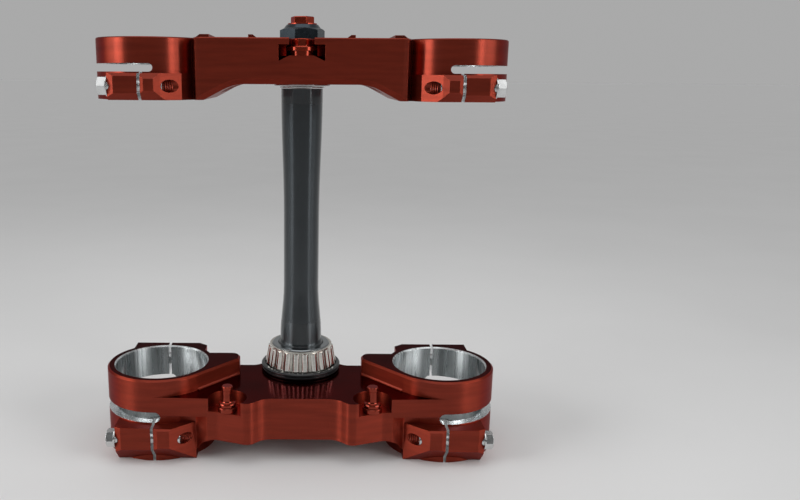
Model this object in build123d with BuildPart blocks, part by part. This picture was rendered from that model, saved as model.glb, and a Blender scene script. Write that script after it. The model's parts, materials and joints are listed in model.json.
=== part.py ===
"""Motorcycle triple clamp: two fork clamps, a steering stem, its lower bearing and its fasteners.

X runs across the motorcycle, -Y is its front, +Z is up. The origin lies midway between the two fork
axes, on the surface that the lower clamp stands on. All sizes are in millimetres.
"""
import os
from math import acos, atan2, cos, radians, sin, tan

from build123d import *

os.makedirs("parts", exist_ok=True)

# Fork tubes and the rings round them
fork_pitch = 185.0
lower_bore = 60.0
upper_bore = 54.0
lower_wall = 5.3
upper_wall = 5.5
bore_chamfer = 0.9
lower_rim_chamfer = 1.2
upper_rim_chamfer = 0.6

# Lower clamp heights
lower_half_height = 26.0
lower_slot_gap = 6.8
upper_half_height = 21.2
deck_height = 43.1
arm_underside = 15.6
stem_boss_bottom = 12.0

# Lower clamp plan
lower_front = 36.2
nose_reach = 44.2
nose_x = 31.4
nose_radius = 6.0
nose_inner_angle = 46.0
nose_outer_angle = 20.0
nose_foot_radius = 12.0
shoulder_y = 37.5
shoulder_corner_x = 58.5
shoulder_corner_y = 36.6
scoop_x = 66.3
scoop_y = 31.3
scoop_radius = 4.0
scoop_height = 4.8
lower_rear = 22.0
boss_blend = 8.0
haunch_x = 60.0
haunch_foot_x = 70.5
haunch_radius = 14.0
wing_tip_x = 41.2
wing_tip_y = 5.6
wing_rear = 17.5
wing_corner = 6.0
wing_foot = 1.8

# Upper clamp heights, measured down from its top face
clamp_top = 261.8
upper_ring_height = 35.7
upper_top_half = 15.0
upper_slot_gap = 4.7
web_thickness = 26.4

# Upper clamp plan
upper_front = 28.6
upper_front_end = 59.0
upper_turn_x = 61.7
upper_turn_y = 28.0
valley_x = 65.5
valley_y = 15.8
upper_rear = 44.0
upper_rear_end = 61.0
upper_rear_corner = 9.0
upper_rear_join = 25.0
upper_front_bevel = 3.1
upper_haunch_x = 40.0
upper_haunch_foot_x = 57.7
upper_haunch_radius = 28.0

# Slots and splits of the rings
split_gap = 1.7
lower_slot_end = 4.3
upper_slot_end = 6.7

# Pinch lugs
lower_bolt_reach = 36.5
upper_bolt_reach = 34.8
lower_lug_reach = 42.0
upper_lug_reach = 40.5
lower_lug_step = 2.0
upper_lug_step = 1.5
lower_lug_face = 11.4
upper_lug_face = 6.6
lower_lug_margin = 1.2
upper_lug_margin = 3.2
lower_seat = 23.6
upper_seat = 18.5
lug_end_run = 4.0
lug_end_drop = 2.2
lug_drop = 0.8
lower_lug_inner = 11.2
upper_lug_inner = 8.8
lower_facet_angle = 40.0
upper_facet_angle = 45.0
lower_facet_run = 15.0
upper_facet_run = 3.2
upper_flank_angle = 39.0
upper_flank_run = 11.0
upper_root_angle = 61.0
upper_root_run = 5.5
lower_bolt_drop = 9.6
upper_bolt_drop = 8.1
tapped_reach = 28.0
lug_step_slope = 1.4

# Pinch bolts
bolt_diameter = 8.0
thread_diameter = 7.2
bolt_clearance = 0.2
thread_clearance = 0.05
bolt_hex = 10.0
bolt_head_height = 4.9
bolt_crown = 9.4
bolt_crown_angle = 60.0
bolt_dish = 6.4
bolt_dish_depth = 0.4
bolt_flange = 11.8
bolt_flange_height = 0.8
lower_bolt_length = 40.8
upper_bolt_length = 31.5

# Steering stem
stem_offset = 20.0
stem_seat = 30.0
stem_shoulder = 28.0
stem_upper_shoulder = 26.8
stem_waist = 23.5
stem_top = 22.0
stem_bore = 17.0
stem_foot_bore = 18.5
stem_foot_depth = 26.0
stem_cap_bore = 12.0
stem_cap_depth = 24.0
stem_fit = 0.02
stem_boss_wall = 12.0
lower_shoulder_length = 4.5
flare_length = 36.0
upper_shoulder_length = 5.0
taper_length = 76.0
stem_above_clamp = 6.3
stem_foot_chamfer = 1.0
stem_shoulder_chamfer = 0.8
stem_cap_cone = 3.0

# Lower bearing
bearing_height = 17.0
race_small = 39.0
race_large = 43.4
race_rib = 2.3
roller_length = 12.0
roller_count = 22
roller_small = 5.0
roller_large = 5.5
roller_circle_small = 39.4
roller_circle_large = 43.1
roller_clearance = 0.05
roller_chamfer = 0.3
race_chamfer = 0.6
cage_thickness = 0.7
cage_offset = 0.9
cage_overhang = 1.5
cage_window_clearance = 0.15

# Dust seal under the bearing
seal_diameter = 54.0
seal_base = 1.5
seal_lip_height = 4.4
seal_lip = 2.4
seal_neck = 1.0
seal_neck_height = 1.8
seal_brim = 0.4
seal_edge = 0.8

# Nut, plug and washers at the top of the stem
nut_hex = 25.0
nut_height = 7.8
nut_cone_height = 2.1
nut_cone_base = 23.4
nut_cone_top = 20.0
nut_turn = 11.5
nut_foot_chamfer = 0.6
nut_crown = 1.4
nut_thread_runout = 0.5
plug_hex = 13.0
plug_head = 5.0
plug_head_chamfer = 0.5
plug_turn = -12.0
plug_shank = 16.0
plug_depth = 14.4
plug_flange = 1.2
plug_flange_height = 0.8
plug_clearance = 0.1
dust_cap_diameter = 36.0
dust_cap_height = 1.5
collar_diameter = 28.6
collar_height = 1.4
washer_chamfer = 0.4

# Posts in the front notches of the lower clamp
post_x = 45.5
post_y = 35.0
post_diameter = 6.9
post_collar = 11.0
post_collar_height = 5.8
post_height = 16.8
post_groove = 0.6
post_groove_height = 3.1
post_edge = 0.5
post_tip_chamfer = 0.9
post_ring_groove = 0.35
post_ring_depth = 2.2
post_spigot = 6.0
post_spigot_depth = 9.0
post_spigot_relief = 1.0
notch_radius = 12.1
notch_depth = 8.6

# Bar-mount seats and rails on the upper clamp
mount_x = 42.8
mount_y = 15.0
mount_spacing = 20.0
mount_hole = 10.4
mount_counterbore = 16.4
mount_counterbore_depth = 8.0
seat_width = 22.9
rail_height = 1.9
inner_rail_foot = 5.2
outer_rail_foot = 7.9
rail_slope = 2.6
rail_front = 22.0
rail_length = 52.0

# Front pocket of the upper clamp and the turned plug in it
pocket_half_width = 13.5
pocket_radius = 15.0
pocket_axis_y = 22.0
pocket_roof = 3.8
pocket_depth = 10.1
pocket_lobe = 3.1
pocket_hump = 7.2
pocket_notch_radius = 7.4
pocket_plug_y = 17.5
pocket_plug_base = 14.8
pocket_plug_flange = 18.0
pocket_plug_head = 12.0
pocket_plug_base_height = 2.9
pocket_plug_flange_height = 2.4
pocket_plug_below = 0.2
pocket_plug_chamfer = 0.4

# Pockets and screw holes in the undersides
pocket_corner = 6.0
lower_pocket_width = 15.0
lower_pocket_length = 34.0
lower_pocket_x = 34.5
lower_pocket_y = -5.0
lower_pocket_depth = 12.0
upper_pocket_half_width = 31.0
upper_pocket_wall = 5.0
upper_pocket_depth = 7.0
upper_boss_diameter = 30.4
guard_hole = 5.0
guard_hole_depth = 14.0
guard_x = 49.0
guard_front_y = -25.0
guard_rear_y = 8.0

# Worked out from the sizes above
fork_x = fork_pitch / 2
lower_radius = lower_bore / 2 + lower_wall
upper_radius = upper_bore / 2 + upper_wall
lower_slot_top = lower_half_height + lower_slot_gap
lower_top = lower_slot_top + upper_half_height
upper_bottom = clamp_top - upper_ring_height
upper_slot_top = clamp_top - upper_top_half
upper_slot_bottom = upper_slot_top - upper_slot_gap
upper_low_half = upper_slot_bottom - upper_bottom
web_bottom = clamp_top - web_thickness
race_bottom = deck_height + seal_base
race_top = race_bottom + bearing_height
dust_cap_bottom = web_bottom - dust_cap_height
stem_shoulder_top = dust_cap_bottom - collar_height
notch_floor = deck_height - notch_depth
roller_tilt = atan2((roller_circle_large - roller_circle_small) / 2, roller_length)
roller_bottom = race_bottom + race_rib + roller_clearance + roller_large / 2 * sin(roller_tilt)
stem_boss_radius = stem_seat / 2 + stem_boss_wall
stem_plane = Plane((0, stem_offset, 0))


def pinch_lug(height, face, margin, reach, step, seat, inner, facets):
    """Front lug of a ring centred on the origin: seat towards +X, slot side up, bevelled at 45 degrees."""
    shelf = reach + step
    face_top = height - margin
    face_bottom = face_top - face
    flank = [(-inner, -shelf)]
    for angle, run in facets:
        flank.append((flank[-1][0] - run, flank[-1][1] + run * tan(radians(angle))))
    with BuildPart() as lug:
        with BuildSketch():
            with BuildLine():
                Polyline(
                    (0, 0),
                    (seat, 0),
                    (seat, lug_end_drop - reach),
                    (seat - lug_end_run, -reach),
                    (-split_gap / 2, -reach),
                    (-split_gap / 2 - lug_step_slope * step, -shelf),
                    *flank,
                    (flank[-1][0], 0),
                    close=True,
                )
            make_face()
        extrude(amount=height)
        with BuildSketch(Plane.YZ):
            with BuildLine():
                Polyline(
                    (0, 0),
                    (face_bottom - shelf, 0),
                    (-shelf, face_bottom),
                    (-shelf, face_top),
                    (height - face_top - shelf, height),
                    (0, height),
                    close=True,
                )
            make_face()
        extrude(amount=2 * reach, both=True, mode=Mode.INTERSECT)
    return lug.part


def rear_lug(lug, slot_side):
    """A front lug turned over to stand behind its ring, with its slot side at the given height."""
    turned = mirror(lug, about=Plane.XZ, mode=Mode.PRIVATE)
    turned = mirror(turned, about=Plane.XY, mode=Mode.PRIVATE)
    return turned.moved(Location((fork_x, 0, slot_side + lug.bounding_box().size.Z)))


def ring_cuts(bore, bottom, slot_bottom, slot_top, top, slot_end, wall_reach):
    """Bore with its end chamfers, outboard slot with a half-round end, and the two opposed splits."""
    slot_width = slot_top - slot_bottom
    slot_run = 2 * wall_reach
    slot_centre = fork_x - slot_end + (slot_width + slot_run) / 2
    with BuildSketch(Plane((fork_x, 0, bottom))) as bore_hole:
        Circle(bore / 2)
    extrude(bore_hole.sketch, amount=top - bottom, mode=Mode.SUBTRACT)
    with Locations((fork_x, 0, bottom)):
        Cone(bore / 2 + bore_chamfer, bore / 2, bore_chamfer,
             align=(Align.CENTER, Align.CENTER, Align.MIN), mode=Mode.SUBTRACT)
    with Locations((fork_x, 0, top)):
        Cone(bore / 2, bore / 2 + bore_chamfer, bore_chamfer,
             align=(Align.CENTER, Align.CENTER, Align.MAX), mode=Mode.SUBTRACT)
    with BuildSketch(Plane.XZ) as slot:
        with Locations((slot_centre, (slot_bottom + slot_top) / 2)):
            SlotCenterToCenter(slot_run, slot_width)
    extrude(slot.sketch, amount=2 * wall_reach, both=True, mode=Mode.SUBTRACT)
    with BuildSketch(Plane((fork_x, 0, bottom))) as front_split:
        with Locations((0, -wall_reach / 2 - bore / 4)):
            Rectangle(split_gap, wall_reach)
    extrude(front_split.sketch, amount=slot_bottom - bottom + slot_width / 2, mode=Mode.SUBTRACT)
    with BuildSketch(Plane((fork_x, 0, top))) as rear_split:
        with Locations((0, wall_reach / 2 + bore / 4)):
            Rectangle(split_gap, wall_reach)
    extrude(rear_split.sketch, amount=slot_top - top - slot_width / 2, mode=Mode.SUBTRACT)


def bolt_cuts(seat, facing, reach, height):
    """Clearance hole from the bolt's seat to the split, then the tapped hole out through the facet."""
    start = Plane(origin=(fork_x + seat, facing * reach, height), z_dir=(1, 0, 0))
    with BuildSketch(start) as shank_hole:
        Circle(bolt_diameter / 2 + bolt_clearance)
    extrude(shank_hole.sketch, amount=-seat, mode=Mode.SUBTRACT)
    with BuildSketch(start.offset(-seat)) as tapped_hole:
        Circle(thread_diameter / 2 + thread_clearance)
    extrude(tapped_hole.sketch, amount=-tapped_reach, mode=Mode.SUBTRACT)
    with BuildSketch(start) as spot_face:
        Circle(bolt_flange / 2 + bolt_clearance)
    extrude(spot_face.sketch, amount=2 * lower_radius, mode=Mode.SUBTRACT)


def tangent_point(centre_x, radius, tip_x, tip_y):
    """Where the line from a tip touches the front of a ring centred on the X axis."""
    run = centre_x - tip_x
    reach = (run**2 + tip_y**2) ** 0.5
    angle = atan2(tip_y, -run) + acos(radius / reach)
    return centre_x + radius * cos(angle), radius * sin(angle)


# Lower clamp, made as its right half and mirrored
nose_inner = radians(nose_inner_angle)
nose_outer = radians(nose_outer_angle)
nose_rise = nose_radius * (sin(nose_inner) + sin(nose_outer)) / sin(nose_inner + nose_outer)
nose_apex = nose_reach - nose_radius + nose_rise
nose_foot_x = nose_x - (nose_apex - lower_front) / tan(nose_inner)
shoulder_x = nose_x + (nose_apex - shoulder_y) / tan(nose_outer)
wing_root = tangent_point(fork_x, lower_radius, wing_tip_x, wing_tip_y)
ring_front = tangent_point(fork_x, lower_radius, shoulder_corner_x, -shoulder_corner_y)
scoop_top = lower_half_height + scoop_height
lower_facets = ((lower_facet_angle, lower_facet_run),)
lower_lug = pinch_lug(
    lower_half_height - lug_drop, lower_lug_face, lower_lug_margin, lower_lug_reach, lower_lug_step,
    lower_seat, lower_lug_inner, lower_facets,
)
lower_back_lug = pinch_lug(
    upper_half_height - lug_drop, lower_lug_face, lower_lug_margin, lower_lug_reach, lower_lug_step,
    lower_seat, lower_lug_inner, lower_facets,
)
lower_bolt_height = lower_half_height - lower_bolt_drop
lower_back_bolt_height = lower_slot_top + lower_bolt_drop

with BuildPart() as lower_clamp:
    # Arm: its plan, then the curve of its underside
    with BuildSketch():
        with BuildLine():
            FilletPolyline(
                (0, -lower_front),
                (nose_foot_x, -lower_front),
                (nose_x, -nose_apex),
                (shoulder_x, -shoulder_y),
                (shoulder_corner_x, -shoulder_corner_y),
                ring_front,
                (ring_front[0], lower_rear),
                (0, lower_rear),
                radius=[0, nose_foot_radius, nose_radius, nose_foot_radius, 0, 0, 0, 0],
                close=True,
            )
        make_face()
    extrude(amount=deck_height)
    with BuildSketch(Plane.XZ):
        with BuildLine():
            FilletPolyline(
                (0, arm_underside),
                (haunch_x, arm_underside),
                (haunch_foot_x, 0),
                (ring_front[0], 0),
                (ring_front[0], deck_height),
                (0, deck_height),
                radius=[0, haunch_radius, 0, 0, 0, 0],
                close=True,
            )
        make_face()
    extrude(amount=2 * nose_reach, both=True, mode=Mode.INTERSECT)
    # Scoop beside the front lug, up to the level of the slot
    with BuildSketch():
        with BuildLine():
            FilletPolyline(
                (shoulder_corner_x, -shoulder_corner_y),
                (scoop_x, -scoop_y),
                (fork_x + lower_radius, -scoop_y),
                (fork_x + lower_radius, -2 * nose_reach),
                (shoulder_corner_x, -2 * nose_reach),
                radius=[0, scoop_radius, 0, 0, 0],
                close=True,
            )
        make_face()
    extrude(amount=scoop_top, mode=Mode.SUBTRACT)
    # Stem boss
    with BuildSketch(stem_plane.offset(stem_boss_bottom)):
        Circle(stem_boss_radius)
        with Locations((-stem_boss_radius, 0)):
            Rectangle(2 * stem_boss_radius, 2 * stem_boss_radius, mode=Mode.SUBTRACT)
    extrude(amount=deck_height - stem_boss_bottom)
    boss_corners = lower_clamp.edges().filter_by(Axis.Z).filter_by(
        lambda edge: abs(edge.center().Y - lower_rear) < 0.01
        and abs(edge.center().X - stem_boss_radius) < 1
    )
    fillet(boss_corners, boss_blend)
    # Wing, its foot rounded into the deck, then the fork ring and its lugs
    with BuildSketch(Plane.XY.offset(deck_height)):
        with BuildLine():
            FilletPolyline(
                wing_root,
                (wing_tip_x, wing_tip_y),
                (wing_tip_x, wing_rear),
                (fork_x, wing_rear),
                (fork_x, wing_root[1]),
                radius=[0, 0, wing_corner, 0, 0],
                close=True,
            )
        make_face()
    extrude(amount=lower_top - deck_height)
    wing_feet = lower_clamp.edges().filter_by_position(
        Axis.Z, deck_height - 0.01, deck_height + 0.01
    ).filter_by(
        lambda edge: wing_root[1] - 0.01 < edge.center().Y < wing_tip_y
        and wing_tip_x < edge.center().X < wing_root[0]
    )
    fillet(wing_feet, wing_foot)
    with BuildSketch():
        with Locations((fork_x, 0)):
            Circle(lower_radius)
    extrude(amount=lower_top)
    chamfer(lower_clamp.faces().sort_by(Axis.Z)[-1].edges(), lower_rim_chamfer)
    add(lower_lug.moved(Location((fork_x, 0, 0))))
    add(rear_lug(lower_back_lug, lower_slot_top + lug_drop))
    ring_cuts(
        lower_bore, 0, lower_half_height, lower_slot_top, lower_top, lower_slot_end,
        lower_radius + lower_lug_reach,
    )
    bolt_cuts(lower_seat, -1, lower_bolt_reach, lower_bolt_height)
    bolt_cuts(lower_seat, 1, lower_bolt_reach, lower_back_bolt_height)
    # Post notch and its spigot hole
    with BuildSketch(Plane.XY.offset(notch_floor)):
        with Locations((post_x, -post_y)):
            Circle(notch_radius)
    extrude(amount=notch_depth, mode=Mode.SUBTRACT)
    with BuildSketch(Plane.XY.offset(notch_floor)):
        with Locations((post_x, -post_y)):
            Circle(post_spigot / 2 + stem_fit)
    extrude(amount=-post_spigot_depth - post_spigot_relief, mode=Mode.SUBTRACT)
    # Underside pocket and screw holes for a front mudguard
    with BuildSketch(Plane.XY.offset(arm_underside)):
        with Locations((lower_pocket_x, lower_pocket_y)):
            RectangleRounded(lower_pocket_width, lower_pocket_length, pocket_corner)
    extrude(amount=lower_pocket_depth, mode=Mode.SUBTRACT)
    with BuildSketch(Plane.XY.offset(arm_underside)):
        with Locations((guard_x, guard_front_y), (guard_x, guard_rear_y)):
            Circle(guard_hole / 2)
    extrude(amount=guard_hole_depth, mode=Mode.SUBTRACT)
    # Seat of the pressed stem
    with BuildSketch(stem_plane):
        Circle(stem_seat / 2 + stem_fit)
    extrude(amount=lower_top, mode=Mode.SUBTRACT)
    mirror(about=Plane.YZ)
lower_clamp.part.label = "lower_clamp"
export_step(lower_clamp.part, "parts/lower_clamp.step")

# Upper clamp, made the same way
upper_facets = (
    (upper_facet_angle, upper_facet_run),
    (upper_flank_angle, upper_flank_run),
    (upper_root_angle, upper_root_run),
)
upper_lug = pinch_lug(
    upper_low_half - lug_drop, upper_lug_face, upper_lug_margin, upper_lug_reach, upper_lug_step,
    upper_seat, upper_lug_inner, upper_facets,
)
upper_back_lug = pinch_lug(
    upper_top_half - lug_drop, upper_lug_face, upper_lug_margin, upper_lug_reach, upper_lug_step,
    upper_seat, upper_lug_inner, upper_facets,
)
upper_bolt_height = upper_slot_bottom - upper_bolt_drop
upper_back_bolt_height = upper_slot_top + upper_bolt_drop
pocket_ceiling = clamp_top - pocket_roof
pocket_bottom = clamp_top - pocket_depth

with BuildPart() as pocket_cutter:
    with BuildSketch(Plane((0, -pocket_axis_y, pocket_bottom - pocket_lobe))):
        Circle(pocket_radius)
        with Locations((0, -pocket_radius)):
            Rectangle(2 * pocket_half_width, 2 * pocket_radius)
    extrude(amount=pocket_depth)
    with BuildSketch(Plane.XZ):
        with BuildLine():
            Polyline(
                (-pocket_radius, pocket_ceiling),
                (pocket_radius, pocket_ceiling),
                (pocket_radius, pocket_bottom - pocket_lobe),
                (pocket_half_width, pocket_bottom - pocket_lobe),
                (pocket_hump, pocket_bottom),
                (-pocket_hump, pocket_bottom),
                (-pocket_half_width, pocket_bottom - pocket_lobe),
                (-pocket_radius, pocket_bottom - pocket_lobe),
                close=True,
            )
        make_face()
    extrude(amount=3 * pocket_radius, both=True, mode=Mode.INTERSECT)

with BuildPart() as upper_clamp:
    # Web and arms: the profile seen from the front, its lower front edge bevelled, then the plan
    with BuildSketch(Plane.XZ.offset(upper_front)):
        with BuildLine():
            FilletPolyline(
                (0, web_bottom),
                (upper_haunch_x, web_bottom),
                (upper_haunch_foot_x, upper_bottom),
                (fork_x, upper_bottom),
                (fork_x, clamp_top),
                (0, clamp_top),
                radius=[0, upper_haunch_radius, 0, 0, 0, 0],
                close=True,
            )
        make_face()
    extrude(amount=-upper_front - upper_rear)
    front_rim = upper_clamp.faces().sort_by(Axis.Y)[0].edges().filter_by(
        lambda edge: edge.center().Z < web_bottom + 0.01 and edge.center().X < upper_haunch_foot_x
    )
    chamfer(front_rim, upper_front_bevel)
    with BuildSketch(Plane.XY.offset(upper_bottom)):
        with BuildLine():
            FilletPolyline(
                (0, -upper_front),
                (upper_front_end, -upper_front),
                (upper_turn_x, -upper_turn_y),
                (valley_x, -valley_y),
                (fork_x, -valley_y),
                (fork_x, upper_rear_join),
                (upper_rear_end, upper_rear),
                (0, upper_rear),
                radius=[0, 0, 0, 0, 0, 0, upper_rear_corner, 0],
                close=True,
            )
        make_face()
    extrude(amount=upper_ring_height, mode=Mode.INTERSECT)
    with BuildSketch(Plane.XY.offset(upper_bottom)):
        with Locations((fork_x, 0)):
            Circle(upper_radius)
    extrude(amount=upper_ring_height)
    add(upper_lug.moved(Location((fork_x, 0, upper_bottom))))
    add(rear_lug(upper_back_lug, upper_slot_top + lug_drop))
    top_rim = upper_clamp.faces().sort_by(Axis.Z)[-1].edges().filter_by(lambda edge: edge.center().X > 0.01)
    chamfer(top_rim, upper_rim_chamfer)
    ring_cuts(
        upper_bore, upper_bottom, upper_slot_bottom, upper_slot_top, clamp_top, upper_slot_end,
        upper_radius + upper_lug_reach,
    )
    bolt_cuts(upper_seat, -1, upper_bolt_reach, upper_bolt_height)
    bolt_cuts(upper_seat, 1, upper_bolt_reach, upper_back_bolt_height)
    # Rails beside the bar-mount seat, each with its upright face towards the seat
    for face_x, foot, away in (
        (mount_x - seat_width / 2, inner_rail_foot, -1),
        (mount_x + seat_width / 2, outer_rail_foot, 1),
    ):
        with BuildSketch(Plane.XZ.offset(rail_front)):
            with BuildLine():
                Polyline(
                    (face_x, clamp_top),
                    (face_x, clamp_top + rail_height),
                    (face_x + away * (foot - rail_slope), clamp_top + rail_height),
                    (face_x + away * foot, clamp_top),
                    close=True,
                )
            make_face()
        extrude(amount=-rail_length)
    # Bar-mount holes with counterbores from below
    for hole_y in (mount_y - mount_spacing / 2, mount_y + mount_spacing / 2):
        with BuildSketch(Plane((mount_x, hole_y, clamp_top))):
            Circle(mount_hole / 2)
        extrude(amount=-upper_ring_height, mode=Mode.SUBTRACT)
        with BuildSketch(Plane((mount_x, hole_y, web_bottom + mount_counterbore_depth))):
            Circle(mount_counterbore / 2)
        extrude(amount=-upper_ring_height, mode=Mode.SUBTRACT)
    # Underside pocket round the stem boss
    pocket_length = upper_rear + upper_front - 2 * upper_pocket_wall
    with BuildSketch(Plane((0, (upper_rear - upper_front) / 2, web_bottom))):
        RectangleRounded(2 * upper_pocket_half_width, pocket_length, pocket_corner)
        with Locations((0, stem_offset - (upper_rear - upper_front) / 2)):
            Circle(upper_boss_diameter / 2, mode=Mode.SUBTRACT)
    extrude(amount=upper_pocket_depth, mode=Mode.SUBTRACT)
    with BuildSketch(stem_plane.offset(upper_bottom)):
        Circle(stem_top / 2 + stem_fit)
    extrude(amount=2 * upper_ring_height, mode=Mode.SUBTRACT)
    # Front pocket, and the half-round notch in its roof
    add(pocket_cutter.part, mode=Mode.SUBTRACT)
    with BuildSketch(Plane((0, -pocket_plug_y, pocket_ceiling))):
        Circle(pocket_notch_radius)
        with Locations((0, -pocket_notch_radius)):
            Rectangle(2 * pocket_notch_radius, 2 * pocket_notch_radius)
    extrude(amount=pocket_roof, mode=Mode.SUBTRACT)
    split(bisect_by=Plane.YZ)
    mirror(about=Plane.YZ)
upper_clamp.part.label = "upper_clamp"
export_step(upper_clamp.part, "parts/upper_clamp.step")

# Stem: hollow, turned, with a narrow waist
lower_flare = race_top + lower_shoulder_length
upper_flare = stem_shoulder_top - upper_shoulder_length
stem_end = clamp_top + stem_above_clamp
with BuildPart() as steering_stem:
    with BuildSketch(Plane((0, stem_offset, 0), x_dir=(1, 0, 0), z_dir=(0, -1, 0))):
        with BuildLine():
            Polyline(
                (stem_bore / 2, stem_boss_bottom + stem_foot_depth),
                (stem_foot_bore / 2, stem_boss_bottom + stem_foot_depth),
                (stem_foot_bore / 2, stem_boss_bottom),
                (stem_seat / 2 - stem_foot_chamfer, stem_boss_bottom),
                (stem_seat / 2, stem_boss_bottom + stem_foot_chamfer),
                (stem_seat / 2, race_top),
                (stem_shoulder / 2, race_top + stem_shoulder_chamfer),
                (stem_shoulder / 2, lower_flare),
            )
            Spline(
                (stem_shoulder / 2, lower_flare),
                (stem_waist / 2, lower_flare + flare_length),
                tangents=[(0, 1), (0, 1)],
            )
            Line((stem_waist / 2, lower_flare + flare_length), (stem_waist / 2, upper_flare - taper_length))
            Spline(
                (stem_waist / 2, upper_flare - taper_length),
                (stem_upper_shoulder / 2, upper_flare),
                tangents=[(0, 1), (0, 1)],
            )
            Polyline(
                (stem_upper_shoulder / 2, upper_flare),
                (stem_upper_shoulder / 2, stem_shoulder_top),
                (stem_top / 2, stem_shoulder_top),
                (stem_top / 2, stem_end),
                (stem_cap_bore / 2, stem_end),
                (stem_cap_bore / 2, stem_end - stem_cap_depth),
                (stem_bore / 2, stem_end - stem_cap_depth - stem_cap_cone),
                (stem_bore / 2, stem_boss_bottom + stem_foot_depth),
            )
        make_face()
    revolve(axis=Axis((0, stem_offset, 0), (0, 0, 1)))
steering_stem.part.label = "steering_stem"
export_step(steering_stem.part, "parts/steering_stem.step")

# Lower bearing: cone, cage and tapered rollers
roller_top = roller_bottom + roller_length
flank_low_z = roller_bottom - roller_large / 2 * sin(roller_tilt)
flank_high_z = roller_bottom + roller_length - roller_small / 2 * sin(roller_tilt)
flank_low = (roller_circle_large - roller_large * cos(roller_tilt)) / 2
flank_high = (roller_circle_small - roller_small * cos(roller_tilt)) / 2
flank_slope = (flank_low - flank_high) / (flank_high_z - flank_low_z)
top_rib_z = roller_top + 2 * roller_clearance
cone_low = flank_low + flank_slope * (flank_low_z - race_bottom - race_rib) - roller_clearance
cone_high = flank_low - flank_slope * (top_rib_z - flank_low_z) - roller_clearance
section_plane = Plane((0, stem_offset, 0), x_dir=(1, 0, 0), z_dir=(0, -1, 0))
stem_axis = Axis((0, stem_offset, 0), (0, 0, 1))
with BuildPart() as bearing_inner_race:
    with BuildSketch(section_plane):
        with BuildLine():
            Polyline(
                (stem_seat / 2 + stem_fit, race_bottom),
                (race_large / 2, race_bottom),
                (race_large / 2, race_bottom + race_rib),
                (cone_low, race_bottom + race_rib),
                (cone_high, top_rib_z),
                (race_small / 2, top_rib_z),
                (race_small / 2, race_top - race_chamfer),
                (race_small / 2 - race_chamfer, race_top),
                (stem_seat / 2 + stem_fit + race_chamfer, race_top),
                (stem_seat / 2 + stem_fit, race_top - race_chamfer),
                close=True,
            )
        make_face()
    revolve(axis=stem_axis)
bearing_inner_race.part.label = "bearing_inner_race"
export_step(bearing_inner_race.part, "parts/bearing_inner_race.step")

roller_base = Plane(
    origin=(roller_circle_large / 2, 0, 0),
    x_dir=(cos(roller_tilt), 0, sin(roller_tilt)),
    z_dir=(-sin(roller_tilt), 0, cos(roller_tilt)),
)
roller_run = roller_length / cos(roller_tilt)
roller_places = Plane((0, stem_offset, roller_bottom))
with BuildPart() as roller:
    with BuildSketch(roller_base):
        Circle(roller_large / 2)
    with BuildSketch(roller_base.offset(roller_run)):
        Circle(roller_small / 2)
    loft()
    chamfer(roller.edges(), roller_chamfer)
with BuildPart() as bearing_rollers:
    with Locations(roller_places):
        with PolarLocations(0, roller_count):
            add(roller.part)
bearing_rollers.part.label = "bearing_rollers"
export_step(bearing_rollers.part, "parts/bearing_rollers.step")

# The cage is a conical sleeve with one window for each roller
cage_low = roller_circle_large / 2 + cage_offset
cage_high = roller_circle_small / 2 + cage_offset
cage_slope = (cage_low - cage_high) / roller_length
cage_foot = min(cage_overhang, race_rib)
with BuildPart() as roller_space:
    with BuildSketch(roller_base):
        Circle(roller_large / 2 + cage_window_clearance)
    with BuildSketch(roller_base.offset(roller_run)):
        Circle(roller_small / 2 + cage_window_clearance)
    loft()
with BuildPart() as bearing_cage:
    with BuildSketch(section_plane):
        with BuildLine():
            Polyline(
                (cage_low + cage_slope * cage_foot, roller_bottom - cage_foot),
                (cage_low + cage_slope * cage_foot + cage_thickness, roller_bottom - cage_foot),
                (cage_high - cage_slope * cage_overhang + cage_thickness, roller_top + cage_overhang),
                (cage_high - cage_slope * cage_overhang - cage_thickness, roller_top + cage_overhang),
                (cage_high - cage_slope * cage_overhang - cage_thickness, roller_top + cage_overhang / 2),
                (cage_high - cage_slope * cage_overhang, roller_top + cage_overhang / 2),
                close=True,
            )
        make_face()
    revolve(axis=stem_axis)
    with Locations(roller_places):
        with PolarLocations(0, roller_count):
            add(roller_space.part, mode=Mode.SUBTRACT)
bearing_cage.part.label = "bearing_cage"
export_step(bearing_cage.part, "parts/bearing_cage.step")

# Dust seal: a flat base that the cone stands on, and a lip round it
seal_radius = seal_diameter / 2
with BuildPart() as bearing_dust_seal:
    with BuildSketch(section_plane):
        with BuildLine():
            Polyline(
                (stem_seat / 2 + stem_fit, deck_height),
                (seal_radius - seal_brim - seal_edge, deck_height),
                (seal_radius - seal_brim, deck_height + seal_edge),
                (seal_radius - seal_brim, deck_height + seal_base),
                (seal_radius - seal_neck, deck_height + seal_neck_height),
                (seal_radius, deck_height + seal_neck_height + seal_edge),
                (seal_radius, deck_height + seal_lip_height - seal_edge),
                (seal_radius - seal_edge, deck_height + seal_lip_height),
                (seal_radius - seal_lip, deck_height + seal_lip_height),
                (seal_radius - seal_lip - seal_edge, deck_height + seal_base),
                (stem_seat / 2 + stem_fit, deck_height + seal_base),
                close=True,
            )
        make_face()
    revolve(axis=stem_axis)
bearing_dust_seal.part.label = "bearing_dust_seal"
export_step(bearing_dust_seal.part, "parts/bearing_dust_seal.step")

# Washers between the stem's shoulder and the upper clamp
with BuildPart() as upper_collar:
    with BuildSketch(stem_plane.offset(stem_shoulder_top)):
        Circle(collar_diameter / 2)
        Circle(stem_top / 2 + stem_fit, mode=Mode.SUBTRACT)
    extrude(amount=collar_height)
    chamfer(upper_collar.edges().filter_by(GeomType.CIRCLE).group_by(SortBy.RADIUS)[-1], washer_chamfer)
upper_collar.part.label = "upper_collar"
export_step(upper_collar.part, "parts/upper_collar.step")

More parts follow.
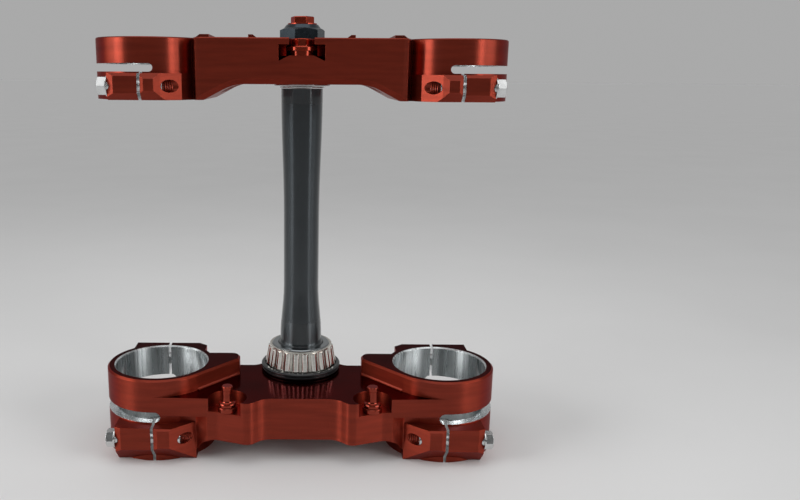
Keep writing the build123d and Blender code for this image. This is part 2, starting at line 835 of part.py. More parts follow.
with BuildPart() as upper_dust_cap:
    with BuildSketch(stem_plane.offset(dust_cap_bottom)):
        Circle(dust_cap_diameter / 2)
        Circle(stem_top / 2 + stem_fit, mode=Mode.SUBTRACT)
    extrude(amount=dust_cap_height)
    chamfer(upper_dust_cap.edges().filter_by(GeomType.CIRCLE).group_by(SortBy.RADIUS)[-1], washer_chamfer)
upper_dust_cap.part.label = "upper_dust_cap"
export_step(upper_dust_cap.part, "parts/upper_dust_cap.step")

# Stem nut: hexagon with chamfered corners and a conical collar
nut_plane = Plane((0, stem_offset, clamp_top))
nut_corner = nut_hex / 3**0.5
with BuildPart() as stem_nut:
    with BuildSketch(nut_plane):
        RegularPolygon(nut_hex / 2, 6, major_radius=False, rotation=nut_turn)
    extrude(amount=nut_height)
    with BuildSketch(section_plane):
        with BuildLine():
            Polyline(
                (0, clamp_top),
                (nut_corner - nut_foot_chamfer, clamp_top),
                (nut_corner, clamp_top + nut_foot_chamfer),
                (nut_corner, clamp_top + nut_height - nut_crown),
                (nut_cone_base / 2, clamp_top + nut_height),
                (0, clamp_top + nut_height),
                close=True,
            )
        make_face()
    revolve(axis=stem_axis, mode=Mode.INTERSECT)
    with Locations(nut_plane.offset(nut_height)):
        Cone(nut_cone_base / 2, nut_cone_top / 2, nut_cone_height,
             align=(Align.CENTER, Align.CENTER, Align.MIN))
    with BuildSketch(nut_plane):
        Circle(stem_top / 2 + thread_clearance)
    extrude(amount=stem_above_clamp + nut_thread_runout, mode=Mode.SUBTRACT)
    with BuildSketch(nut_plane):
        Circle(plug_shank / 2)
    extrude(amount=2 * nut_height, mode=Mode.SUBTRACT)
stem_nut.part.label = "stem_nut"
export_step(stem_nut.part, "parts/stem_nut.step")

# Red plug in the top of the stem
plug_seat = nut_plane.offset(nut_height + nut_cone_height)
with BuildPart() as stem_plug:
    with BuildSketch(plug_seat):
        RegularPolygon(plug_hex / 2, 6, major_radius=False, rotation=plug_turn)
    extrude(amount=plug_head)
    chamfer(stem_plug.faces().sort_by(Axis.Z)[-1].edges(), plug_head_chamfer)
    with BuildSketch(plug_seat):
        Circle(plug_shank / 2 + plug_flange)
    extrude(amount=plug_flange_height)
    with BuildSketch(plug_seat):
        Circle(plug_shank / 2 - plug_clearance)
    extrude(amount=stem_end - clamp_top - nut_height - nut_cone_height)
    with BuildSketch(plug_seat):
        Circle(stem_cap_bore / 2 - thread_clearance)
    extrude(amount=-plug_depth)
stem_plug.part.label = "stem_plug"
export_step(stem_plug.part, "parts/stem_plug.step")

# Posts in the front notches
for side, name in ((-1, "plate_post_left"), (1, "plate_post_right")):
    post_section = Plane((side * post_x, -post_y, notch_floor), x_dir=(1, 0, 0), z_dir=(0, -1, 0))
    with BuildPart() as post:
        with BuildSketch(post_section):
            with BuildLine():
                Polyline(
                    (0, -post_spigot_depth),
                    (post_spigot / 2, -post_spigot_depth),
                    (post_spigot / 2, 0),
                    (post_collar / 2 - post_edge, 0),
                    (post_collar / 2, post_edge),
                    (post_collar / 2, post_groove_height - post_groove),
                    (post_collar / 2 - post_groove, post_groove_height),
                    (post_collar / 2, post_groove_height + post_groove),
                    (post_collar / 2, post_collar_height - post_edge),
                    (post_collar / 2 - post_edge, post_collar_height),
                    (post_diameter / 2 + post_edge, post_collar_height),
                    (post_diameter / 2, post_collar_height + post_edge),
                    (post_diameter / 2, post_height - post_ring_depth - post_ring_groove),
                    (post_diameter / 2 - post_ring_groove, post_height - post_ring_depth),
                    (post_diameter / 2, post_height - post_ring_depth + post_ring_groove),
                    (post_diameter / 2, post_height - post_tip_chamfer),
                    (post_diameter / 2 - post_tip_chamfer, post_height),
                    (0, post_height),
                    close=True,
                )
            make_face()
        revolve(axis=Axis((side * post_x, -post_y, 0), (0, 0, 1)))
    post.part.label = name
    export_step(post.part, f"parts/{name}.step")

# Turned plug in the front pocket of the upper clamp
with BuildPart() as pocket_plug:
    with BuildSketch(Plane((0, -pocket_plug_y, pocket_bottom))):
        Circle(pocket_plug_base / 2)
    extrude(amount=pocket_plug_base_height)
    with BuildSketch(Plane((0, -pocket_plug_y, pocket_bottom + pocket_plug_base_height))):
        Circle(pocket_plug_flange / 2)
    extrude(amount=pocket_plug_flange_height)
    with BuildSketch(Plane((0, -pocket_plug_y, pocket_bottom + pocket_plug_base_height))):
        Circle(pocket_plug_head / 2)
    extrude(amount=pocket_depth - pocket_plug_base_height - pocket_plug_below)
    chamfer(pocket_plug.edges().filter_by(GeomType.CIRCLE).sort_by(Axis.Z)[-3:], pocket_plug_chamfer)
pocket_plug.part.label = "pocket_plug"
export_step(pocket_plug.part, "parts/pocket_plug.step")


def pinch_bolt(seat, shank_run, length):
    """Flange bolt whose head leaves the seat plane along its normal."""
    crown_foot = bolt_crown / 2 + bolt_head_height * tan(radians(bolt_crown_angle))
    with BuildPart() as bolt:
        with BuildSketch(seat.offset(bolt_flange_height)):
            RegularPolygon(bolt_hex / 2, 6, major_radius=False)
        extrude(amount=bolt_head_height)
        with Locations(seat.offset(bolt_flange_height)):
            Cone(crown_foot, bolt_crown / 2, bolt_head_height,
                 align=(Align.CENTER, Align.CENTER, Align.MIN), mode=Mode.INTERSECT)
        with BuildSketch(seat.offset(bolt_flange_height + bolt_head_height)):
            Circle(bolt_dish / 2)
        extrude(amount=-bolt_dish_depth, mode=Mode.SUBTRACT)
        with BuildSketch(seat):
            Circle(bolt_flange / 2)
        extrude(amount=bolt_flange_height)
        with BuildSketch(seat):
            Circle(bolt_diameter / 2)
        extrude(amount=-shank_run)
        with BuildSketch(seat.offset(-shank_run)):
            Circle(thread_diameter / 2)
        extrude(amount=shank_run - length)
    return bolt.part


# Eight pinch bolts, heads outboard
for level, seat, reach, front_height, rear_height, length in (
    ("lower", lower_seat, lower_bolt_reach, lower_bolt_height, lower_back_bolt_height, lower_bolt_length),
    ("upper", upper_seat, upper_bolt_reach, upper_bolt_height, upper_back_bolt_height, upper_bolt_length),
):
    for place, facing, height in (("front", -1, front_height), ("rear", 1, rear_height)):
        for hand, side in (("left", -1), ("right", 1)):
            seat_plane = Plane(
                origin=(side * (fork_x + seat), facing * reach, height),
                x_dir=(0, 1, 0),
                z_dir=(side, 0, 0),
            )
            name = f"{level}_{place}_bolt_{hand}"
            with BuildPart() as flange_bolt:
                add(pinch_bolt(seat_plane, seat, length))
            flange_bolt.part.label = name
            export_step(flange_bolt.part, f"parts/{name}.step")
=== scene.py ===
"""Looks for the motorcycle triple clamp: materials, threads, floor, light and camera, in metres."""
import json
from math import cos, pi, radians, sin, tan

import bmesh
import bpy
from mathutils import Euler, Matrix, Vector


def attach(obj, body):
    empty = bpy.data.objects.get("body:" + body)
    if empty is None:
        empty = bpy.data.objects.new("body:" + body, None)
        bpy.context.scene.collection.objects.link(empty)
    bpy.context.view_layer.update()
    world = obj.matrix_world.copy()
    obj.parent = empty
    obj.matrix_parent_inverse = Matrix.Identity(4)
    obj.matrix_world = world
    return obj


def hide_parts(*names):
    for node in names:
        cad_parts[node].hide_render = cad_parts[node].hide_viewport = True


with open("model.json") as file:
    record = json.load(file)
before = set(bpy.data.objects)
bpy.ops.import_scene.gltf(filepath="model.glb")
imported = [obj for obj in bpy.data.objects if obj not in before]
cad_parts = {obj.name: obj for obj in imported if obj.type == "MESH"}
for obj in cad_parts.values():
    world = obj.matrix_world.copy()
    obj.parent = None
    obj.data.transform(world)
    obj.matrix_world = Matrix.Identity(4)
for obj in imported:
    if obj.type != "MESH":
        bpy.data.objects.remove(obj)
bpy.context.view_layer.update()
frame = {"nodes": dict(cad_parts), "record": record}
nodes = frame["nodes"]
mounts = {mount["name"]: mount for mount in frame["record"]["mounts"]}
MM = 0.001

# Sizes read from the frame
FORK_X = mounts["fork_lower_right"]["pos_m"][0]
LOWER_BORE = mounts["fork_lower_right"]["dims"]["r_mm"] * MM
UPPER_BORE = mounts["fork_upper_right"]["dims"]["r_mm"] * MM
CLAMP_TOP = mounts["bar_mounts"]["pos_m"][2]
STEM_Y = mounts["stem_foot"]["pos_m"][1]
POST_X, POST_Y, _ = mounts["post_right"]["pos_m"]

# Sizes repeated from the part's source
LOWER_RADIUS = LOWER_BORE + 5.3 * MM
UPPER_RADIUS = UPPER_BORE + 5.5 * MM
LOWER_SLOT = (26.0 * MM, 32.8 * MM)
UPPER_SLOT = (242.1 * MM, 246.8 * MM)
LOWER_TOP = 54.0 * MM
DECK = 43.1 * MM
SPLIT_HALF = 0.85 * MM
STEM_SATIN = (78.0 * MM, 223.0 * MM)
TAPPED_RADIUS = 3.65 * MM

# How a noise is stretched: a small number draws it out that way
BRUSHED = (0.3, 0.3, 3.0)
AROUND = (0.06, 0.06, 3.0)
UPRIGHT = (1, 1, 0.03)
EVERY_WAY = (1, 1, 1)


def shaded(colour, share):
    """A colour made darker, by a share below 1, or lighter."""
    return tuple(min(1.0, share * part) for part in colour)


class Nodes:
    """A material's node tree with short calls for what the surfaces here need."""

    def __init__(self, name, colour, metallic, roughness):
        self.material = bpy.data.materials.new(name)
        self.material.use_nodes = True
        self.tree = self.material.node_tree
        self.shader = self.tree.nodes["Principled BSDF"]
        self.shader.inputs["Base Color"].default_value = (*colour, 1)
        self.shader.inputs["Metallic"].default_value = metallic
        self.shader.inputs["Roughness"].default_value = roughness
        self.material.diffuse_color = (*colour, 1)
        self.normal = None

    def add(self, kind, **values):
        node = self.tree.nodes.new(kind)
        for key, value in values.items():
            setattr(node, key, value)
        return node

    def link(self, source, target):
        self.tree.links.new(source, target)

    def noise(self, scale, detail=2, stretch=EVERY_WAY):
        """Noise fixed to the object, about 0.3 to 0.7 for the most part."""
        place = self.add("ShaderNodeTexCoord")
        squeeze = self.add("ShaderNodeMapping")
        squeeze.inputs["Scale"].default_value = stretch
        self.link(place.outputs["Object"], squeeze.inputs["Vector"])
        noise = self.add("ShaderNodeTexNoise")
        noise.inputs["Scale"].default_value = scale
        noise.inputs["Detail"].default_value = detail
        self.link(squeeze.outputs["Vector"], noise.inputs["Vector"])
        return noise.outputs["Fac"]

    def span(self, source, low, high, start=0.3, end=0.7):
        """Turns a source that runs from start to end into one from low to high."""
        spread = self.add("ShaderNodeMapRange")
        spread.inputs["From Min"].default_value = start
        spread.inputs["From Max"].default_value = end
        spread.inputs["To Min"].default_value = low
        spread.inputs["To Max"].default_value = high
        self.link(source, spread.inputs["Value"])
        return spread.outputs["Result"]

    def colours(self, source, low, high, start=0.3, end=0.7):
        """Base colour that runs from low to high as the source runs from start to end."""
        ramp = self.add("ShaderNodeValToRGB")
        ramp.color_ramp.elements[0].position = start
        ramp.color_ramp.elements[1].position = end
        ramp.color_ramp.elements[0].color = (*low, 1)
        ramp.color_ramp.elements[1].color = (*high, 1)
        self.link(source, ramp.inputs["Fac"])
        self.link(ramp.outputs["Color"], self.shader.inputs["Base Color"])

    def roughness(self, source, low, high):
        self.link(self.span(source, low, high), self.shader.inputs["Roughness"])

    def coat(self, weight, roughness):
        self.shader.inputs["Coat Weight"].default_value = weight
        self.shader.inputs["Coat Roughness"].default_value = roughness

    def rim(self, colour):
        """Tint of a metal's reflection at a grazing angle."""
        self.shader.inputs["Specular Tint"].default_value = (*colour, 1)

    def tool_lines(self, amount):
        """Spreads reflections upright, as tool lines that run round a part do."""
        upright = self.add("ShaderNodeCombineXYZ")
        upright.inputs["Z"].default_value = 1
        self.shader.inputs["Anisotropic"].default_value = amount
        self.link(upright.outputs["Vector"], self.shader.inputs["Tangent"])

    def edges(self, radius):
        """Edges that catch the light as if rounded to a small radius."""
        bevel = self.add("ShaderNodeBevel", samples=6)
        bevel.inputs["Radius"].default_value = radius
        self.normal = bevel.outputs["Normal"]

    def bump(self, source, distance):
        bump = self.add("ShaderNodeBump")
        bump.inputs["Strength"].default_value = 1.0
        bump.inputs["Distance"].default_value = distance
        self.link(source, bump.inputs["Height"])
        if self.normal is not None:
            self.link(self.normal, bump.inputs["Normal"])
        self.normal = bump.outputs["Normal"]

    def done(self):
        self.link(self.normal, self.shader.inputs["Normal"])
        return self.material


def anodised(name, colour, rough, grain, edge=0.35 * MM, coat=0.25, lines=0.0, metallic=0.87):
    """Dyed aluminium: level streaks in the dye, blasted grain, a thin clear coat and broken edges."""
    look = Nodes(name, colour, metallic, rough)
    streaks = look.noise(scale=110, detail=3, stretch=BRUSHED)
    look.colours(streaks, low=shaded(colour, 0.86), high=shaded(colour, 1.14))
    look.roughness(look.noise(scale=900), low=rough - 0.04, high=rough + 0.05)
    look.coat(coat, roughness=rough * 0.8)
    look.rim(shaded(colour, 2.2))
    if lines:
        look.tool_lines(lines)
    look.edges(edge)
    look.bump(look.noise(scale=1700), distance=grain)
    return look.done()


def turned(name, colour, rough, lines, stretch=EVERY_WAY, metallic=1.0, edge=0.2 * MM, spread=0.0,
           deep=0.86, grain=220):
    """Machined metal or moulded rubber with fine marks, which in the bare aluminium are a painted reflection
    of upright lamps; deep is the share of the colour left in them.
    """
    look = Nodes(name, colour, metallic, rough)
    marks = look.noise(scale=grain, detail=3, stretch=stretch)
    look.colours(marks, low=shaded(colour, deep), high=colour)
    look.roughness(look.noise(scale=500, stretch=stretch), low=rough * 0.8, high=rough * 1.25)
    if spread:
        look.tool_lines(spread)
    look.edges(edge)
    look.bump(look.noise(scale=900, stretch=stretch), distance=lines)
    return look.done()


STEM_BLACK = (0.046, 0.053, 0.058)
STEM_GREY = (0.060, 0.068, 0.073)
SATIN_BORDER = 0.4 * MM


def stem_look():
    """Black stem: polished along its waist, left satin at the two fits."""
    look = Nodes("black_stem", STEM_BLACK, metallic=1.0, roughness=0.22)
    place = look.add("ShaderNodeTexCoord")
    parts = look.add("ShaderNodeSeparateXYZ")
    look.link(place.outputs["Object"], parts.inputs["Vector"])
    height = parts.outputs["Z"]
    foot, head = STEM_SATIN
    above = look.span(height, 0.0, 1.0, start=head - SATIN_BORDER, end=head + SATIN_BORDER)
    below = look.span(height, 1.0, 0.0, start=foot - SATIN_BORDER, end=foot + SATIN_BORDER)
    satin = look.add("ShaderNodeMath", operation="MAXIMUM")
    look.link(above, satin.inputs[0])
    look.link(below, satin.inputs[1])
    look.colours(satin.outputs["Value"], low=STEM_BLACK, high=STEM_GREY, start=0.0, end=1.0)
    finish = look.span(satin.outputs["Value"], low=0.21, high=0.34, start=0.0, end=1.0)
    drift = look.add("ShaderNodeMath", operation="ADD")
    look.link(finish, drift.inputs[0])
    look.link(look.span(look.noise(scale=500, stretch=AROUND), low=-0.015, high=0.025), drift.inputs[1])
    look.link(drift.outputs["Value"], look.shader.inputs["Roughness"])
    look.coat(0.6, roughness=0.07)
    look.tool_lines(0.95)
    look.edges(0.2 * MM)
    look.bump(look.noise(scale=900, stretch=AROUND), distance=0.0007 * MM)
    return look.done()


DYE = (0.225, 0.029, 0.0145)
red = anodised("red_anodised", DYE, rough=0.32, grain=0.004 * MM, coat=0.18, lines=0.9)
# Level tops, deck and ring tops: a glossier finish, and a darker copy of the dye (0.55 of it) as painted
# shade
glossy_top_painted_shade = anodised("glossy_top_painted_shade", shaded(DYE, 0.55), rough=0.15, grain=0.001 * MM, coat=0.1, metallic=1.0)
red_turned = anodised("red_turned", DYE, rough=0.16, grain=0.001 * MM, edge=0.12 * MM)
red_plug = anodised("red_plug", (0.31, 0.038, 0.017), rough=0.18, grain=0.001 * MM)
# Bores: upright streaks that take the colour down to 0.45 of it are a painted reflection of the upright lamps
bare = turned(
    "bare_aluminium", (0.80, 0.84, 0.85), rough=0.27, lines=0.0008 * MM, stretch=UPRIGHT,
    spread=0.9, deep=0.45, grain=75,
)
milled = turned("milled_aluminium", (0.78, 0.80, 0.81), rough=0.26, lines=0.003 * MM)
stem = stem_look()
oxide = turned("black_oxide", (0.050, 0.064, 0.076), rough=0.26, lines=0.0006 * MM)
zinc = turned("plated_steel", (0.70, 0.71, 0.71), rough=0.22, lines=0.003 * MM)
ground = turned(
    "ground_steel", (0.86, 0.84, 0.79), rough=0.12, lines=0.001 * MM, stretch=AROUND, edge=0.1 * MM)
race = turned("race_steel", (0.30, 0.32, 0.33), rough=0.18, lines=0.002 * MM, stretch=AROUND, edge=0.1 * MM)
pressed = turned("cage_steel", (0.72, 0.69, 0.63), rough=0.20, lines=0.001 * MM, edge=0.1 * MM)
# Near-black painted shade for the cage's inner faces, between bars and rollers
hollow = turned("cage_inner_painted_shade", (0.030, 0.026, 0.022), rough=0.35, lines=0.001 * MM, edge=0.05 * MM)
rubber = turned(
    "moulded_rubber", (0.013, 0.014, 0.015), rough=0.26, lines=0.003 * MM, stretch=AROUND, metallic=0.0)


def dress(node, *materials, choose=None):
    """Gives a CAD node its materials; choose(centre, normal) returns the index for a face."""
    mesh = nodes[node].data
    mesh.materials.clear()
    for material in materials:
        mesh.materials.append(material)
    for face in mesh.polygons:
        face.material_index = choose(face.center, face.normal) if choose else 0


# Places of the materials in a clamp's list
DYED, BARE, MILLED, GLOSSY_TOP_SHADED = range(4)

# How near a face's centre is to a surface that it belongs to
NEAR = 0.1 * MM
BORE_SKIN = 1.0 * MM
RING_SKIN = 0.3 * MM
LEVEL_SKIN = 0.2 * MM

# How far inboard of the fork axis a ring's slot is milled, and cosines of the way that a face looks
SLOT_INBOARD = 14.0 * MM
SQUARE = 0.95
FACING = 0.9
ASIDE = 0.1


def ring_face(bore, radius, slot, levels):
    """Says what each face of a clamp is: bore, slot or split, level top or deck (glossier, and darkened as
    painted shade), or plain dyed metal.
    """
    def choose(centre, normal):
        side = abs(centre.x) - FORK_X
        reach = (side**2 + centre.y**2) ** 0.5
        if reach < bore + BORE_SKIN:
            return BARE
        in_slot = slot[0] - NEAR <= centre.z <= slot[1] + NEAR
        in_ring = reach < radius + RING_SKIN and side > -SLOT_INBOARD
        inner_wall = abs(normal.y) < ASIDE and reach < radius - NEAR
        if in_slot and in_ring and (abs(normal.z) > SQUARE or inner_wall):
            return MILLED
        if abs(side) < SPLIT_HALF + NEAR and abs(normal.x) > FACING and abs(centre.y) > bore:
            return MILLED
        # Level tops take the darker copy of the dye, painted shade
        if normal.z > FACING and min(abs(centre.z - level) for level in levels) < LEVEL_SKIN:
            return GLOSSY_TOP_SHADED
        return DYED
    return choose


lower_faces = ring_face(LOWER_BORE, LOWER_RADIUS, LOWER_SLOT, levels=(DECK, LOWER_TOP))
upper_faces = ring_face(UPPER_BORE, UPPER_RADIUS, UPPER_SLOT, levels=(CLAMP_TOP,))
dress("lower_clamp", red, bare, milled, glossy_top_painted_shade, choose=lower_faces)
dress("upper_clamp", red, bare, milled, glossy_top_painted_shade, choose=upper_faces)

# Cosines: a cage face that looks out less than the first, and up or down less than the second, is inside
LOOKS_OUT = 0.35
LOOKS_UP = 0.75


def cage_face(centre, normal):
    """Inner faces of the cage, between bars and rollers, get a near-black painted shade."""
    outward = Vector((centre.x, centre.y - STEM_Y, 0)).normalized()
    return 1 if normal.dot(outward) < LOOKS_OUT and abs(normal.z) < LOOKS_UP else 0


dress("steering_stem", stem)
dress("stem_nut", oxide)
dress("stem_plug", red_plug)
dress("upper_dust_cap", zinc)
dress("upper_collar", zinc)
dress("bearing_inner_race", race)
dress("bearing_cage", pressed, hollow, choose=cage_face)
dress("bearing_rollers", ground)
dress("bearing_dust_seal", rubber)
dress("pocket_plug", red_plug)
for side in ("left", "right"):
    for place in ("lower_front", "lower_rear", "upper_front", "upper_rear"):
        dress(f"{place}_bolt_{side}", zinc)

HANDS = (("left", -1), ("right", 1))
SHARP_ANGLE = radians(32)


def smoothed(mesh):
    """Smooth shading, with the edges kept sharp where faces meet at more than the sharp angle."""
    mesh.shade_smooth()
    mesh.set_sharp_from_angle(angle=SHARP_ANGLE)


def clamp_piece(name, mesh, material):
    """Object of a mesh that rides on the clamps, with the material it is given."""
    mesh.materials.append(material)
    piece = bpy.data.objects.new(name, mesh)
    bpy.context.scene.collection.objects.link(piece)
    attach(piece, "clamp_assembly")
    return piece


# Radii and heights of a post, in millimetres
POST_PROFILE = (
    (0.0, 34.5), (5.7, 34.5), (6.1, 34.9), (6.1, 37.3), (5.7, 37.8), (5.0, 37.9), (5.0, 38.4),
    (5.4, 38.6), (5.4, 39.7), (5.0, 40.3), (4.3, 40.4), (3.7, 40.8), (3.35, 41.4), (3.25, 42.2),
    (3.25, 48.3), (3.45, 48.6), (3.45, 50.7), (3.0, 51.3), (0.0, 51.3),
)
POST_STEPS = 72
MERGE = 0.001 * MM


def turned_post(name, hand):
    """Post turned about an upright axis, its ends closed by merging the points on that axis."""
    points = []
    faces = []
    for radius, height in POST_PROFILE:
        for step in range(POST_STEPS):
            turn = 2 * pi * step / POST_STEPS
            x = hand * POST_X + radius * MM * cos(turn)
            y = POST_Y + radius * MM * sin(turn)
            points.append((x, y, height * MM))
    for row in range(len(POST_PROFILE) - 1):
        for step in range(POST_STEPS):
            here = row * POST_STEPS + step
            beside = row * POST_STEPS + (step + 1) % POST_STEPS
            faces.append((here, beside, beside + POST_STEPS, here + POST_STEPS))
    mesh = bpy.data.meshes.new(name)
    mesh.from_pydata(points, [], faces)
    work = bmesh.new()
    work.from_mesh(mesh)
    bmesh.ops.remove_doubles(work, verts=work.verts, dist=MERGE)
    work.to_mesh(mesh)
    work.free()
    smoothed(mesh)
    return clamp_piece(name, mesh, red_turned)


for side, hand in HANDS:
    post = turned_post(f"turned_post_{side}", hand)
    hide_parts(f"plate_post_{side}")

# Pocket in the upper clamp's front: its heights, its rear arc, and the cheek's ends across and front arc
POCKET_FLOOR = 251.7 * MM
POCKET_ROOF = 258.0 * MM
POCKET_RADIUS = 15.0 * MM
POCKET_Y = -22.0 * MM
CHEEK_INNER = 9.2 * MM
CHEEK_OUTER = 13.45 * MM
CHEEK_RADIUS = 19.0 * MM
CHEEK_Y = -2.1 * MM
CHEEK_STEPS = 14


def pocket_cheek(name, hand):
    """Convex cheek that closes the front pocket beside its plug."""
    front = []
    rear = []
    for step in range(CHEEK_STEPS + 1):
        across = CHEEK_INNER + (CHEEK_OUTER - CHEEK_INNER) * step / CHEEK_STEPS
        front.append((hand * across, CHEEK_Y - (CHEEK_RADIUS**2 - across**2) ** 0.5))
        rear.append((hand * across, POCKET_Y + (POCKET_RADIUS**2 - across**2) ** 0.5))
    outline = front + rear[::-1]
    count = len(outline)
    points = [(x, y, POCKET_FLOOR) for x, y in outline] + [(x, y, POCKET_ROOF) for x, y in outline]
    faces = [tuple(range(count)), tuple(range(2 * count - 1, count - 1, -1))]
    faces += [(i, (i + 1) % count, (i + 1) % count + count, i + count) for i in range(count)]
    mesh = bpy.data.meshes.new(name)
    mesh.from_pydata(points, [], faces)
    work = bmesh.new()
    work.from_mesh(mesh)
    bmesh.ops.recalc_face_normals(work, faces=work.faces)
    work.to_mesh(mesh)
    work.free()
    smoothed(mesh)
    clamp_piece(name, mesh, red_turned)


for side, hand in HANDS:
    pocket_cheek(f"pocket_cheek_{side}", hand)

# A thread's ridge stands into its hole and stops short of the flank; RIDGE_HALF and FLANK_TURN are in pitches
PITCH = 1.25 * MM
RIDGE_HEIGHT = 0.42 * MM
RIDGE_FOOT = 0.03 * MM
RIDGE_HALF = 0.45
RIDGE_STEPS = 36
FLANK_TURN = 0.6
FLANK_GAP = 0.1 * MM


def thread_ridge(name, hand, facing, height, reach, start, end, flank):
    """Helical ridge of a tapped hole, from the bolt's tip to the slanted mouth in the lug's flank."""
    points = []
    faces = []
    open_run = False
    count = int((end - start) / PITCH * RIDGE_STEPS)
    for index in range(count + 2):
        along = start + PITCH * index / RIDGE_STEPS
        turn = 2 * pi * index / RIDGE_STEPS
        across = TAPPED_RADIUS * cos(turn)
        clear = all(across + reach < line(along + FLANK_TURN * PITCH) - FLANK_GAP for line in flank)
        inside = clear and index <= count
        if inside:
            for shift, rise in ((-RIDGE_HALF, RIDGE_FOOT), (0.0, -RIDGE_HEIGHT), (RIDGE_HALF, RIDGE_FOOT)):
                ring = TAPPED_RADIUS + rise
                points.append((
                    hand * (FORK_X - along - shift * PITCH),
                    facing * (reach + ring * cos(turn)),
                    height + ring * sin(turn),
                ))
            last = len(points) - 3
            if open_run:
                for corner in range(3):
                    after = (corner + 1) % 3
                    faces.append((last - 3 + corner, last - 3 + after, last + after, last + corner))
            else:
                faces.append((last, last + 1, last + 2))
        elif open_run:
            faces.append((len(points) - 1, len(points) - 2, len(points) - 3))
        open_run = inside
    mesh = bpy.data.meshes.new(name)
    mesh.from_pydata(points, [], faces)
    clamp_piece(name, mesh, red)


def flank_line(inner, shelf, angle):
    """Reach of a lug's slanted flank at a distance inboard of the fork axis."""
    return lambda along: shelf - max(0.0, along - inner) * tan(radians(angle))


# Tapped holes: reach is to the front or rear of the fork axis, start (the bolt's tip) and end inboard of it
LOWER_TAPPED = {
    "reach": 36.5 * MM, "start": 17.4 * MM, "end": 25.5 * MM,
    "flank": (flank_line(inner=11.2 * MM, shelf=44.0 * MM, angle=40.0),),
}
UPPER_TAPPED = {
    "reach": 34.8 * MM, "start": 13.2 * MM, "end": 23.0 * MM,
    "flank": (
        flank_line(inner=8.8 * MM, shelf=42.0 * MM, angle=45.0),
        flank_line(inner=8.8 * MM, shelf=41.4 * MM, angle=39.0),
    ),
}
LOWER_BOLT_DROP = 9.6 * MM
UPPER_BOLT_DROP = 8.1 * MM
for side, hand in HANDS:
    for level, slot, drop, tapped in (
        ("lower", LOWER_SLOT, LOWER_BOLT_DROP, LOWER_TAPPED),
        ("upper", UPPER_SLOT, UPPER_BOLT_DROP, UPPER_TAPPED),
    ):
        thread_ridge(f"{level}_front_thread_{side}", hand, -1, slot[0] - drop, **tapped)
        thread_ridge(f"{level}_rear_thread_{side}", hand, 1, slot[1] + drop, **tapped)

# Floor, a little below the object so that the two never share a surface
FLOOR_RADIUS = 40.0
FLOOR_DROP = 0.05 * MM
FLOOR_GREY = 0.71
FLOOR_DRIFT = 0.01
floor_look = Nodes("floor", (FLOOR_GREY,) * 3, metallic=0.0, roughness=0.6)
floor_look.colours(
    floor_look.noise(scale=6, detail=3),
    low=(FLOOR_GREY - FLOOR_DRIFT,) * 3,
    high=(FLOOR_GREY + FLOOR_DRIFT,) * 3,
)
floor_look.bump(floor_look.noise(scale=400), distance=0.02 * MM)
bpy.ops.mesh.primitive_circle_add(
    vertices=96, radius=FLOOR_RADIUS, fill_type="NGON", location=(0, 0, -FLOOR_DROP))
floor = bpy.context.object
floor.name = "floor"
floor.data.materials.append(floor_look.done())

# World by direction: pale behind the object, dim behind the camera, eased between two headings along Y
BACKDROP = 0.40
ROOM = 0.10
BACKDROP_FROM = 0.45
ROOM_UP_TO = -1.0
world = bpy.data.worlds.new("studio")
bpy.context.scene.world = world
world.use_nodes = True
backing = world.node_tree.nodes["Background"]
heading = world.node_tree.nodes.new("ShaderNodeTexCoord")
parts = world.node_tree.nodes.new("ShaderNodeSeparateXYZ")
shade = world.node_tree.nodes.new("ShaderNodeMapRange")
shade.interpolation_type = "SMOOTHSTEP"
shade.inputs["From Min"].default_value = ROOM_UP_TO
shade.inputs["From Max"].default_value = BACKDROP_FROM
shade.inputs["To Min"].default_value = ROOM
shade.inputs["To Max"].default_value = BACKDROP
world.node_tree.links.new(heading.outputs["Generated"], parts.inputs["Vector"])
world.node_tree.links.new(parts.outputs["Y"], shade.inputs["Value"])
world.node_tree.links.new(shade.outputs["Result"], backing.inputs["Color"])

LIT_POINT = Vector((0, 0, 0.14))
BOX_SPREAD = radians(58)


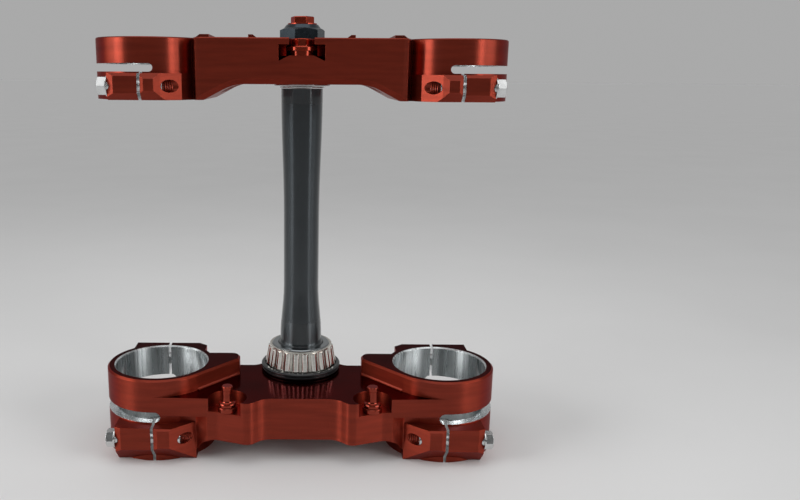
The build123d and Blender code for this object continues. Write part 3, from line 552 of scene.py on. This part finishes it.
def softbox(name, azimuth, elevation, distance, width, height, power):
    """Area light at an azimuth counted from the camera's side, turned to the object."""
    lamp = bpy.data.lights.new(name, "AREA")
    lamp.shape = "RECTANGLE"
    lamp.size = width
    lamp.size_y = height
    lamp.energy = power
    lamp.spread = BOX_SPREAD
    box = bpy.data.objects.new(name, lamp)
    bpy.context.scene.collection.objects.link(box)
    around = radians(azimuth)
    up = radians(elevation)
    box.location = LIT_POINT + distance * Vector((sin(around) * cos(up), -cos(around) * cos(up), sin(up)))
    box.rotation_euler = (LIT_POINT - box.location).to_track_quat("-Z", "Y").to_euler()


softbox("left_strip", azimuth=-62, elevation=19, distance=1.3, width=0.42, height=0.78, power=0.60)
softbox("left_box", azimuth=-78, elevation=20, distance=1.5, width=1.35, height=0.84, power=1.5)
softbox("right_strip", azimuth=52, elevation=19, distance=1.3, width=0.26, height=0.78, power=0.45)
softbox("right_box", azimuth=72, elevation=20, distance=1.5, width=0.90, height=0.84, power=0.95)

# Weak wide light from above, leaning a little
CEILING_POWER = 0.82
CEILING_ANGLE = radians(60)
CEILING_LEAN = radians(12)
ceiling = bpy.data.lights.new("ceiling", "SUN")
ceiling.energy = CEILING_POWER
ceiling.angle = CEILING_ANGLE
overhead = bpy.data.objects.new("ceiling", ceiling)
overhead.rotation_euler = (CEILING_LEAN, 0, 0)
bpy.context.scene.collection.objects.link(overhead)

# Camera at the photograph's viewing angle, looking down and rolled a little
CAMERA_PLACE = (3.08 * MM, -488.8 * MM, 240.23 * MM)
CAMERA_DOWN = 12.65
CAMERA_ROLL = 0.38
lens = bpy.data.cameras.new("camera")
lens.sensor_width = 36
lens.lens = 34.88
lens.shift_x = 0.1177
lens.clip_start = 0.01
camera = bpy.data.objects.new("camera", lens)
bpy.context.scene.collection.objects.link(camera)
camera.location = CAMERA_PLACE
tilt = Euler((radians(90 - CAMERA_DOWN), 0, 0)).to_matrix().to_4x4()
camera.rotation_euler = (tilt @ Matrix.Rotation(radians(CAMERA_ROLL), 4, "Z")).to_euler()
bpy.context.scene.camera = camera
bpy.context.scene.view_settings.view_transform = "Standard"
